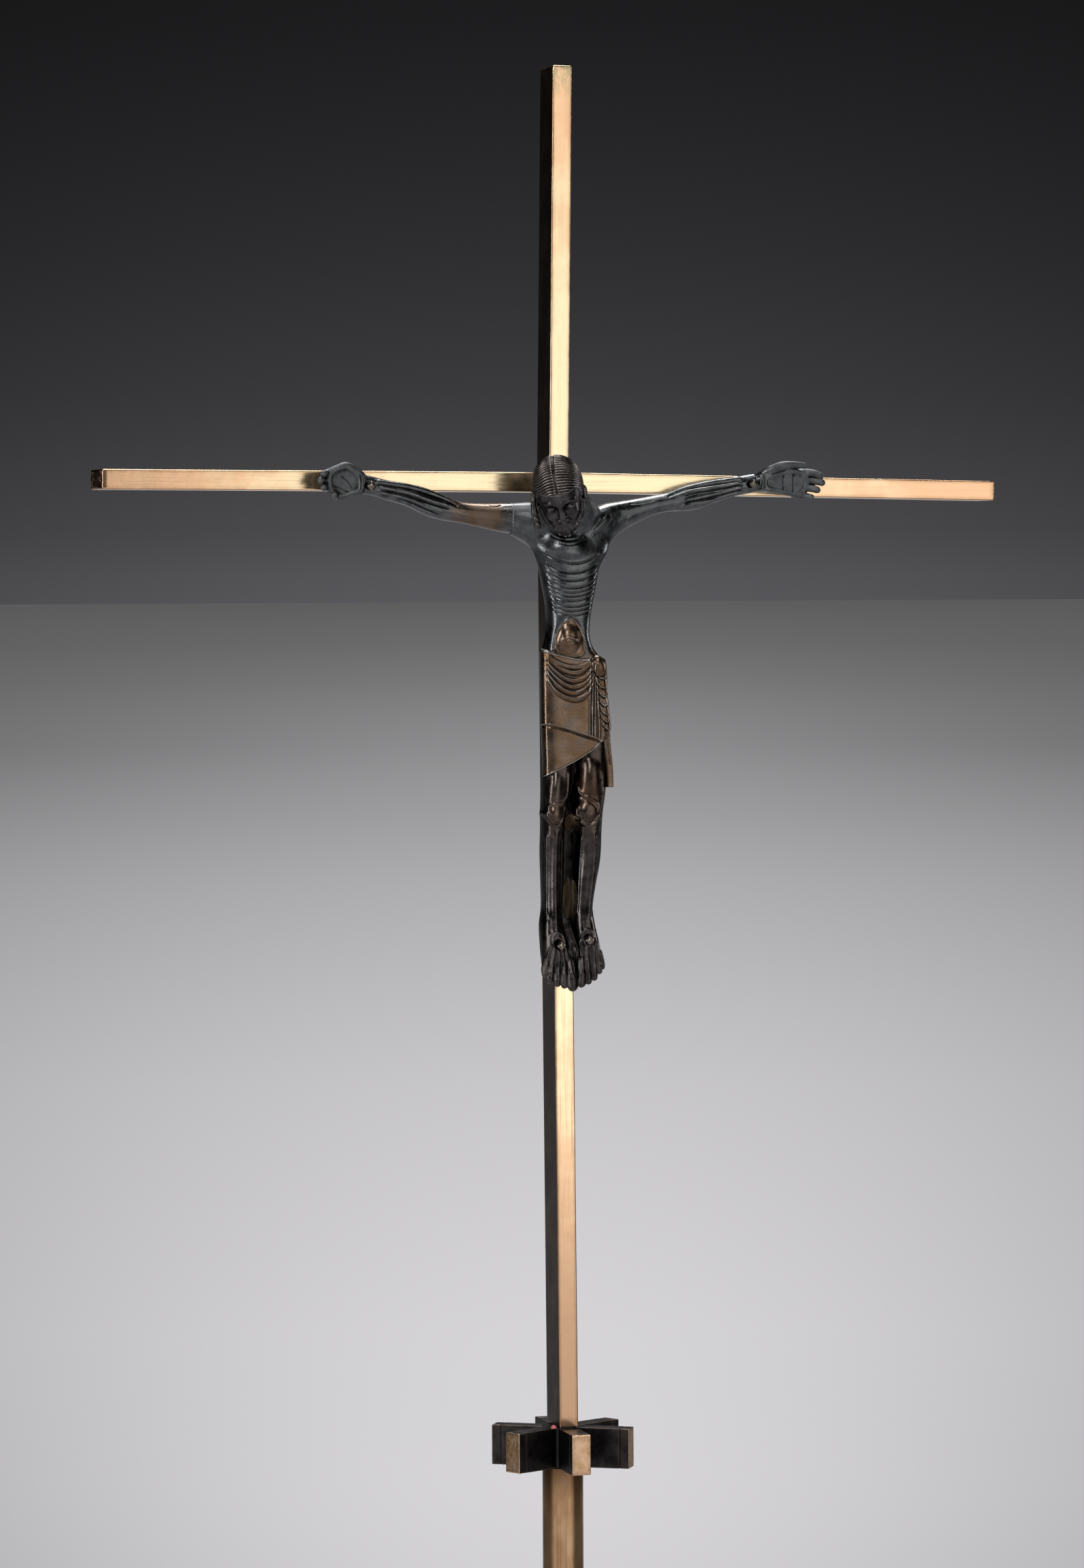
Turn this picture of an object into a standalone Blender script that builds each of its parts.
"""Processional cross: a staff with a six-armed knop, and a cross and corpus that lift out of the staff.

Metres, +Z up. The origin is the middle of the staff's foot, where the staff stands. +X runs along the
crossbar to the right as the corpus is looked at, and -Y is the front, the side that the corpus hangs on.
"""

import math

import bmesh
import bpy
from mathutils import Matrix, Vector

MM = 0.001
GAP = 0.3 * MM  # between two pieces that touch, such as brazed faces
SLIP = 0.1 * MM  # between the spigot and its slot

# Staff
STAFF_RADIUS = 12.6 * MM
STAFF_WALL = 1.5 * MM
KNOP_BOTTOM = 1200.0 * MM  # height of the knop's underside above the foot
FOOT_HEIGHT = 14.0 * MM
FOOT_CHAMFER = 2.0 * MM
FOOT_PLUG_DEPTH = 30.0 * MM
SLEEVE_LENGTH = 96.0 * MM

# Knop: flat arms that stand round a hub, each with a plate on its end
KNOP_HEIGHT = 24.6 * MM
KNOP_REACH = 43.8 * MM
KNOP_ARM_COUNT = 6
KNOP_ARM_WIDTH = 11.9 * MM
KNOP_CAP_THICKNESS = 6.0 * MM
HUB_RADIUS = 13.0 * MM
KNOP_EDGE = 0.7 * MM

# Bars of the cross
BAR_WIDTH = 12.0 * MM
BAR_DEPTH = 30.0 * MM
BAR_EDGE = 0.8 * MM
FOOT_GAP = 0.9 * MM  # between the knop and the upright's lower end
CROSSING_HEIGHT = 582.0 * MM  # from the knop's top to the crossing
UPPER_ARM_TOP = 254.2 * MM  # these three are measured from the crossing
LEFT_ARM_END = 284.3 * MM
RIGHT_ARM_END = 281.5 * MM
END_OUT_OF_SQUARE = 1.3 * MM  # the left arm's end face is cut a little askew
LOWER_LEAN = math.radians(0.344)  # the arms were brazed slightly out of line
UPPER_LEAN = math.radians(0.785)
LEFT_RISE = math.radians(0.43)
RIGHT_DROP = math.radians(1.13)

# Joints inside the bars
TENON_LENGTH = 16.0 * MM
TENON_WIDTH = 6.0 * MM
TENON_DEPTH = 20.0 * MM
SPIGOT_WIDTH = 8.0 * MM
SPIGOT_DEPTH = 18.0 * MM
SPIGOT_IN_BAR = 30.0 * MM
SPIGOT_BELOW = 115.0 * MM  # how far it reaches below the upright

# Fixings of the corpus
NAIL_RADIUS = 2.0 * MM
NAIL_HEAD = 3.4 * MM
NAIL_HEAD_HEIGHT = 2.6 * MM
NAIL_IN_BAR = 12.0 * MM
FOOT_NAIL_LENGTH = 8.0 * MM
BOSS_RADIUS = 4.0 * MM
BOLT_RADIUS = 2.5 * MM
BOLT_HEAD_RADIUS = 4.6 * MM
BOLT_HEAD_HEIGHT = 3.6 * MM
DOWEL_RADIUS = 2.5 * MM
DOWEL_LENGTH = 18.0 * MM

KNOP_TOP = KNOP_BOTTOM + KNOP_HEIGHT
UPRIGHT_FOOT = KNOP_TOP + FOOT_GAP
CROSSING_Z = KNOP_TOP + CROSSING_HEIGHT
CROSSING_X = -CROSSING_HEIGHT * math.tan(LOWER_LEAN)
BAR_FRONT = -BAR_DEPTH / 2

BRONZE = (0.78, 0.58, 0.38)
DARK_BRONZE = (0.055, 0.045, 0.04)
KNOP_DARK = (0.05, 0.04, 0.035)
BRASS = (0.76, 0.57, 0.30)
STEEL = (0.45, 0.45, 0.44)


def clear_scene():
    for old in list(bpy.data.objects):
        bpy.data.objects.remove(old, do_unlink=True)


def metal(name, colour, roughness):
    """A Principled metal of one colour, shared by every piece of that finish."""
    found = bpy.data.materials.get(name)
    if found:
        return found
    made = bpy.data.materials.new(name)
    made.use_nodes = True
    shader = made.node_tree.nodes["Principled BSDF"]
    shader.inputs["Base Color"].default_value = (*colour, 1.0)
    shader.inputs["Metallic"].default_value = 1.0
    shader.inputs["Roughness"].default_value = roughness
    return made


def empty(name, location):
    made = bpy.data.objects.new(name, None)
    made.location = location
    bpy.context.scene.collection.objects.link(made)
    bpy.context.view_layer.update()
    return made


def piece(name, work, finish=None, parent=None):
    """Turns a bmesh into an object, with its faces outwards, under a parent empty."""
    bmesh.ops.recalc_face_normals(work, faces=work.faces)
    mesh = bpy.data.meshes.new(name)
    work.to_mesh(mesh)
    work.free()
    made = bpy.data.objects.new(name, mesh)
    bpy.context.scene.collection.objects.link(made)
    if finish:
        mesh.materials.append(finish)
    if parent:
        made.parent = parent
        made.matrix_parent_inverse = Matrix.Translation(parent.location).inverted()
    return made


def cutter(work):
    """A shape that is only cut away or joined on, so it isn't a piece of its own."""
    made = piece("cutter", work)
    made.hide_render = True
    made.display_type = "WIRE"
    return made


def boolean(target, other, operation="DIFFERENCE"):
    step = target.modifiers.new(operation.title(), "BOOLEAN")
    step.operation = operation
    step.solver = "EXACT"
    step.object = other


def bevel(target, width, segments=1):
    step = target.modifiers.new("Bevel", "BEVEL")
    step.width = width
    step.segments = segments
    step.limit_method = "ANGLE"
    step.angle_limit = math.radians(40)


def smooth(target, degrees=35):
    target.data.shade_smooth()
    target.data.set_sharp_from_angle(angle=math.radians(degrees))


def block(low, high):
    """A box between two corners."""
    low, high = Vector(low), Vector(high)
    work = bmesh.new()
    bmesh.ops.create_cube(work, size=1.0)
    bmesh.ops.scale(work, vec=high - low, verts=work.verts)
    bmesh.ops.translate(work, vec=(low + high) / 2, verts=work.verts)
    return work


def rod(start, end, radius, sides=24, end_radius=None):
    """A round bar or a cone between two points."""
    start, end = Vector(start), Vector(end)
    work = bmesh.new()
    bmesh.ops.create_cone(
        work,
        cap_ends=True,
        segments=sides,
        radius1=radius,
        radius2=radius if end_radius is None else end_radius,
        depth=(end - start).length,
        matrix=Matrix.Translation((start + end) / 2)
        @ (end - start).to_track_quat("Z", "Y").to_matrix().to_4x4(),
    )
    return work


def turned(profile, sides=48):
    """A solid turned about the Z axis from (radius, height) points that run up its outside."""
    work = bmesh.new()
    rings = []
    for radius, height in profile:
        angles = (2 * math.pi * k / sides for k in range(sides))
        rings.append([work.verts.new((radius * math.cos(a), radius * math.sin(a), height)) for a in angles])
    for low, high in zip(rings, rings[1:]):
        for k in range(sides):
            n = (k + 1) % sides
            work.faces.new((low[k], low[n], high[n], high[k]))
    work.faces.new(reversed(rings[0]))
    work.faces.new(rings[-1])
    return work


def prism(outline, low, high):
    """An outline of (x, y) points extruded up from one height to another."""
    work = bmesh.new()
    base = work.faces.new([work.verts.new((x, y, low)) for x, y in outline])
    made = bmesh.ops.extrude_face_region(work, geom=[base])["geom"]
    top = [v for v in made if isinstance(v, bmesh.types.BMVert)]
    bmesh.ops.translate(work, vec=(0, 0, high - low), verts=top)
    return work


def loft(stations, along, sides=16):
    """A closed skin over ellipses. A station is (centre, half-size across, half-size in depth, pinch).

    along is "Z" for level sections and "X" for upright ones. The pinch narrows a section's depth at its
    middle, as between two legs.
    """
    work = bmesh.new()
    rings = []
    for centre, across, depth, pinch in stations:
        ring = []
        for k in range(sides):
            angle = 2 * math.pi * k / sides
            side = math.cos(angle)
            front = math.sin(angle) * (1 - pinch * (1 - side * side) ** 3)
            flat = -front * depth
            offset = (side * across, flat, 0) if along == "Z" else (0, flat, side * across)
            ring.append(work.verts.new(Vector(centre) + Vector(offset)))
        rings.append(ring)
    for one, two in zip(rings, rings[1:]):
        bmesh.ops.bridge_loops(work, edges=ring_edges(work, one) + ring_edges(work, two))
    for ring in (rings[0], rings[-1]):
        work.faces.new(ring)
    return work


def ring_edges(work, ring):
    found = []
    for a, b in zip(ring, ring[1:] + ring[:1]):
        found.append(work.edges.get((a, b)) or work.edges.new((a, b)))
    return found


def slot_cutter(low, high):
    """The slot that the spigot slides in."""
    half_width = SPIGOT_WIDTH / 2 + SLIP
    half_depth = SPIGOT_DEPTH / 2 + SLIP
    return cutter(block((-half_width, -half_depth, low), (half_width, half_depth, high)))


def make_staff():
    """The tube, the plug in its foot and the slotted sleeve in its head."""
    brass = metal("staff_brass", BRASS, 0.3)
    inner = STAFF_RADIUS - STAFF_WALL
    low, high = FOOT_HEIGHT + GAP, KNOP_BOTTOM - GAP
    tube = piece("staff_tube", rod((0, 0, low), (0, 0, high), STAFF_RADIUS, 48), brass)
    boolean(tube, cutter(rod((0, 0, low - MM), (0, 0, high + MM), inner, 48)))
    smooth(tube)

    fit = inner - GAP
    foot_profile = [
        (STAFF_RADIUS - FOOT_CHAMFER, 0),
        (STAFF_RADIUS, FOOT_CHAMFER),
        (STAFF_RADIUS, FOOT_HEIGHT),
        (fit, FOOT_HEIGHT),
        (fit, FOOT_HEIGHT + FOOT_PLUG_DEPTH),
    ]
    smooth(piece("staff_foot", turned(foot_profile), brass))

    top = KNOP_BOTTOM - GAP
    sleeve = piece("socket_sleeve", rod((0, 0, top - SLEEVE_LENGTH), (0, 0, top), fit, 32), brass)
    boolean(sleeve, slot_cutter(top - SLEEVE_LENGTH - MM, top + MM))
    smooth(sleeve)


def make_knop():
    """The hub on the tube's end, and the arms round it with their end plates."""
    dark = metal("knop_patina", KNOP_DARK, 0.4)
    bright = metal("knop_bronze", BRONZE, 0.25)
    hub = piece("knop_hub", rod((0, 0, KNOP_BOTTOM), (0, 0, KNOP_TOP), HUB_RADIUS, 48), dark)
    boolean(hub, slot_cutter(KNOP_BOTTOM - MM, KNOP_TOP + MM))
    smooth(hub)

    half = KNOP_ARM_WIDTH / 2
    seat = HUB_RADIUS + GAP
    spread = math.asin(half / seat)
    steps = 6
    turns = [-spread + 2 * spread * k / steps for k in range(steps + 1)]
    hollow_end = [(seat * math.sin(turn), -seat * math.cos(turn)) for turn in turns]
    cap_start = KNOP_REACH - KNOP_CAP_THICKNESS
    outline = hollow_end + [(half, -cap_start + GAP / 2), (-half, -cap_start + GAP / 2)]
    for number in range(KNOP_ARM_COUNT):
        turn = Matrix.Rotation(2 * math.pi * number / KNOP_ARM_COUNT, 4, "Z")
        arm = piece(f"knop_arm_{number + 1}", prism(outline, KNOP_BOTTOM, KNOP_TOP), dark)
        low, high = (-half, -KNOP_REACH, KNOP_BOTTOM), (half, -cap_start - GAP / 2, KNOP_TOP)
        cap = piece(f"knop_cap_{number + 1}", block(low, high), bright)
        bevel(cap, KNOP_EDGE)
        for part in (arm, cap):
            part.matrix_world = turn


def bar(name, length, start, parent, skew=0.0):
    """A bar that lies along +X from start to length, with its outer end cut askew by skew, and a mortise."""
    half_width, half_depth = BAR_WIDTH / 2, BAR_DEPTH / 2
    work = block((start, -half_depth, -half_width), (length, half_depth, half_width))
    for vertex in work.verts:
        if vertex.co.x > start + MM and vertex.co.y > 0:
            vertex.co.x += skew
    made = piece(name, work, metal("bar_bronze", BRONZE, 0.25), parent)
    bevel(made, BAR_EDGE, 2)
    return made


def placed(made, turn, at):
    """Turns a bar about the front-to-back axis, from +X upwards, and puts its start at a point."""
    made.matrix_world = Matrix.Translation(at) @ Matrix.Rotation(-turn, 4, "Y")


def mortise(made, low, high, half_depth, half_width):
    hole = cutter(block((low, -half_depth, -half_width), (high, half_depth, half_width)))
    hole.matrix_world = made.matrix_world
    boolean(made, hole)


def make_bars(parent):
    """Four bars, tenoned and brazed to a block at the crossing, and the spigot under the lower one."""
    centre = Vector((CROSSING_X, 0, CROSSING_Z))
    start = BAR_WIDTH / 2 + 1.5 * GAP
    arms = {
        "upper_arm": (UPPER_ARM_TOP, math.pi / 2 - UPPER_LEAN, 0),
        "left_arm": (LEFT_ARM_END, math.pi - LEFT_RISE, END_OUT_OF_SQUARE),
        "right_arm": (RIGHT_ARM_END, -RIGHT_DROP, 0),
        "lower_upright": (CROSSING_Z - UPRIGHT_FOOT, -math.pi / 2 + LOWER_LEAN, 0),
    }
    room = 1.5 * GAP
    for name, (length, turn, skew) in arms.items():
        made = bar(name, length, start, parent, skew)
        placed(made, turn, centre)
        reach = BAR_WIDTH / 2 + TENON_LENGTH + room
        mortise(made, start - MM, reach, TENON_DEPTH / 2 + room, TENON_WIDTH / 2 + room)
        if name == "lower_upright":
            inner = length - SPIGOT_IN_BAR - GAP
            mortise(made, inner, length + MM, SPIGOT_DEPTH / 2 + GAP, SPIGOT_WIDTH / 2 + GAP)

    half, depth = BAR_WIDTH / 2, BAR_DEPTH / 2
    bronze = metal("bar_bronze", BRONZE, 0.25)
    joint = piece("crossing_block", block((-half, -depth, -half), (half, depth, half)), bronze, parent)
    reach = half + TENON_LENGTH
    thick, deep = TENON_WIDTH / 2, TENON_DEPTH / 2
    boolean(joint, cutter(block((-reach, -deep, -thick), (reach, deep, thick))), "UNION")
    boolean(joint, cutter(block((-thick, -deep, -reach), (thick, deep, reach))), "UNION")
    for modifier in joint.modifiers:
        modifier.object.matrix_world = Matrix.Translation(centre)
    joint.matrix_world = Matrix.Translation(centre)

    low, high = UPRIGHT_FOOT - SPIGOT_BELOW, UPRIGHT_FOOT + SPIGOT_IN_BAR
    half, depth = SPIGOT_WIDTH / 2, SPIGOT_DEPTH / 2
    steel = metal("steel", STEEL, 0.4)
    spigot = piece("spigot", block((-half, -depth, low), (half, depth, high)), steel, parent)
    bevel(spigot, 0.5 * MM)


def at(x, y, z):
    """A point of the corpus: millimetres from the staff's axis, the bars' middle plane and the crossing."""
    return Vector((x * MM, y * MM, CROSSING_Z + z * MM))


def skin(rows, along, sides=16):
    """A loft from rows of (x, y, z, half across, half deep, pinch) in the corpus's millimetres."""
    return loft([(at(x, y, z), a * MM, d * MM, pinch) for x, y, z, a, d, pinch in rows], along, sides)


def drill(made, start, end, radius):
    boolean(made, cutter(rod(start, end, radius, 16)))


# The trunk from the chest to the toes, in the corpus's millimetres
TRUNK = (
    (-3, -31, -16, 24, 8, 0),
    (-3, -32, -28, 25, 12, 0),
    (-2.5, -32, -44, 21.5, 13, 0),
    (-2.2, -32, -63, 16.5, 12, 0),
    (-2.6, -31, -76, 14.3, 10.5, 0),
    (-3.0, -31, -90, 13.2, 10.5, 0),
    (-2.6, -31, -103, 16, 12, 0),
    (-1.0, -31, -112, 18.6, 13, 0),
    (-0.6, -32, -140, 20, 13.5, 0),
    (-0.6, -32, -172, 20, 13.5, 0.05),
    (-0.9, -33, -190, 19.8, 14, 0.2),
    (-2.3, -34, -208, 18.6, 14, 0.35),
    (-2.5, -33, -226, 18.4, 12.5, 0.4),
    (-3.4, -32, -247, 16.9, 11.5, 0.4),
    (-4.8, -32, -266, 15.6, 10.5, 0.35),
    (-4.4, -34, -278, 17.8, 11, 0.25),
    (-3.4, -37, -292, 18.3, 10, 0.2),
    (-3.2, -40, -302, 15.5, 7, 0.1),
    (-3.2, -41, -309, 8, 4, 0),
)
SHOULDERS = (
    (-37, -28, -22.2, 9.4, 8.5, 0),
    (-26, -29, -24, 12, 10, 0),
    (-12, -31, -27, 15, 12, 0),
    (8, -31, -27, 15, 12, 0),
    (22, -29, -23, 11.5, 10, 0),
    (33, -28, -20.3, 8.6, 8.2, 0),
)
HEAD_CENTRE = (-14.5, -55, -7)
HEAD_TILT = (math.radians(24), math.radians(-12), 0)  # bowed forwards, and towards the corpus's right
HEAD_HALF = (17.5, 19, 24)
LEFT_ARM = (
    (-37.4, -28, -22.2, 9.3, 8.4, 0),
    (-50, -27.5, -20.8, 7.9, 7.4, 0),
    (-67, -27, -18.3, 6.9, 6.6, 0),
    (-85, -27, -12.9, 7.8, 6.8, 0),
    (-108, -28, -6.8, 6.9, 6.2, 0),
    (-126, -29, -1.9, 5.7, 4.6, 0),
    (-136, -30, 1.2, 7.5, 4.2, 0),
    (-148, -32, 1.2, 10, 4.2, 0),
    (-156, -34, -0.4, 8.5, 4.2, 0),
    (-162, -35, -0.6, 4.5, 3, 0),
)
RIGHT_ARM = (
    (33.4, -28, -20.3, 8.5, 8.1, 0),
    (46, -27.5, -16.4, 6.4, 6.6, 0),
    (62, -27, -12.6, 6, 6.2, 0),
    (75, -27, -9.6, 8, 6.8, 0),
    (96, -28, -5.2, 7, 6.2, 0),
    (113, -29, -1.2, 5.9, 4.6, 0),
    (124, -30, 1.6, 7, 4.2, 0),
    (138, -32, 1.4, 10.4, 4.2, 0),
    (150, -34, -0.4, 9, 4.2, 0),
    (160, -35, -1, 5, 3, 0),
)
LEG_GAPS = ((-1.2, -208.3, 2.7, 5.2), (-2.2, -254.8, 2.7, 12.8))  # x, z and half-sizes of the holes
WRISTS = {"left": (-126.5, -33.6, -2.3), "right": (114.6, -33.6, -1.4)}  # x, depth of the surface, z
WRIST_BACK = -25.5  # depth of the wrists' backs
FEET = {"left": (-12.5, -45.6, -282), "right": (5.2, -45.6, -279)}
BACK_BOSSES = {"chest": (-2.8, -23, -66), "heel": (-3.2, -25, -282)}
SHOULDER_JOINTS = {"left": (-37.2, -22.2), "right": (33.2, -20.3)}  # x and z of each joint
DOWEL_Y = -28


def make_corpus(parent):
    """The cast body with its head and legs, and the two arms that were cast apart."""
    dark = metal("corpus_patina", DARK_BRONZE, 0.35)
    body = piece("corpus_body", skin(TRUNK, "Z", 20), dark, parent)
    boolean(body, cutter(skin(SHOULDERS, "X")), "UNION")

    head = bmesh.new()
    bmesh.ops.create_uvsphere(head, u_segments=18, v_segments=12, radius=MM)
    bmesh.ops.scale(head, vec=HEAD_HALF, verts=head.verts)
    tilt = Matrix.Rotation(HEAD_TILT[0], 4, "X") @ Matrix.Rotation(HEAD_TILT[1], 4, "Y")
    bmesh.ops.transform(head, matrix=Matrix.Translation(at(*HEAD_CENTRE)) @ tilt, verts=head.verts)
    boolean(body, cutter(head), "UNION")

    for x, z, half_width, half_height in LEG_GAPS:
        gap = rod((0, -1, 0), (0, 1, 0), 1.0, 16)
        bmesh.ops.scale(gap, vec=(half_width * MM, 30 * MM, half_height * MM), verts=gap.verts)
        bmesh.ops.translate(gap, vec=at(x, -32, z), verts=gap.verts)
        boolean(body, cutter(gap))

    arms = {"left": piece("corpus_left_arm", skin(LEFT_ARM, "X"), dark, parent)}
    arms["right"] = piece("corpus_right_arm", skin(RIGHT_ARM, "X"), dark, parent)
    for made in (body, *arms.values()):
        smooth(made, 60)
    return body, arms


def nail(name, tip, head, drilled, parent):
    """A nail with a pyramid head, and its hole and the head's recess in each solid that it is driven into."""
    bronze = metal("nail_bronze", DARK_BRONZE, 0.35)
    along = (head - tip).normalized()
    outer = head + along * NAIL_HEAD_HEIGHT
    made = piece(name, rod(tip, head + along * 0.1 * MM, NAIL_RADIUS, 16), bronze, parent)
    boolean(made, cutter(rod(head, outer, NAIL_HEAD, 4, NAIL_HEAD * 0.35)), "UNION")
    for solid in drilled:
        drill(solid, tip - along * GAP, outer, NAIL_RADIUS + GAP / 2)
    drill(drilled[0], head - along * GAP, outer + along * 4 * MM, NAIL_HEAD + GAP)


def boss(name, x, z, depth, hole, cast, parent):
    """A spacer that stands on the front of a bar and carries the casting."""
    back, front = at(x, BAR_FRONT / MM, z), at(x, depth, z)
    out = Vector((0, -GAP, 0))
    bronze = metal("nail_bronze", DARK_BRONZE, 0.35)
    made = piece(name, rod(back + out, front - out, BOSS_RADIUS, 20), bronze, parent)
    drill(made, back - out, front + out, hole + GAP / 2)
    boolean(cast, cutter(rod(back, front, BOSS_RADIUS + GAP, 20)))


def screw(name, x, z, depth, cast, parent):
    """A screw from behind, through the upright and a boss, into the back of the casting."""
    rear, tip = at(x, -BAR_FRONT / MM, z), at(x, depth - 6, z)
    out = Vector((0, GAP, 0))
    made = piece(name, rod(rear + out * 1.5, tip, BOLT_RADIUS, 20), metal("steel", STEEL, 0.4), parent)
    top = rear + out + Vector((0, BOLT_HEAD_HEIGHT, 0))
    head = rod(rear + out, top, BOLT_HEAD_RADIUS, 24, BOLT_HEAD_RADIUS * 0.8)
    boolean(made, cutter(head), "UNION")
    for solid in (bpy.data.objects["lower_upright"], cast):
        drill(solid, rear + out, tip - out, BOLT_RADIUS + GAP / 2)


def make_fixings(parent, body, arms):
    """Nails in the wrists and feet, spacers with their screws from behind, and the shoulders' dowels."""
    for side, (x, front, z) in WRISTS.items():
        held_in = bpy.data.objects[f"{side}_arm"]
        tip = at(x, (BAR_FRONT + NAIL_IN_BAR) / MM, z)
        boss(f"wrist_boss_{side}", x, z, WRIST_BACK, NAIL_RADIUS, arms[side], parent)
        nail(f"wrist_nail_{side}", tip, at(x, front, z), [arms[side], held_in], parent)
    for side, (x, front, z) in FEET.items():
        nail(f"foot_nail_{side}", at(x, front + FOOT_NAIL_LENGTH / MM, z), at(x, front, z), [body], parent)
    for level, (x, depth, z) in BACK_BOSSES.items():
        boss(f"{level}_boss", x, z, depth, BOLT_RADIUS, body, parent)
        screw(f"{level}_screw", x, z, depth, body, parent)
    for side, (x, z) in SHOULDER_JOINTS.items():
        half = DOWEL_LENGTH / MM / 2
        start, end = at(x - half, DOWEL_Y, z), at(x + half, DOWEL_Y, z)
        name = f"shoulder_dowel_{side}"
        piece(name, rod(start, end, DOWEL_RADIUS, 16), metal("steel", STEEL, 0.4), parent)
        for solid in (body, arms[side]):
            drill(solid, start - Vector((GAP, 0, 0)), end + Vector((GAP, 0, 0)), DOWEL_RADIUS + GAP / 2)


def main():
    clear_scene()
    make_staff()
    make_knop()
    lift_axis = empty("lift_axis", (0, 0, KNOP_TOP))
    make_bars(lift_axis)
    body, arms = make_corpus(lift_axis)
    make_fixings(lift_axis, body, arms)


main()
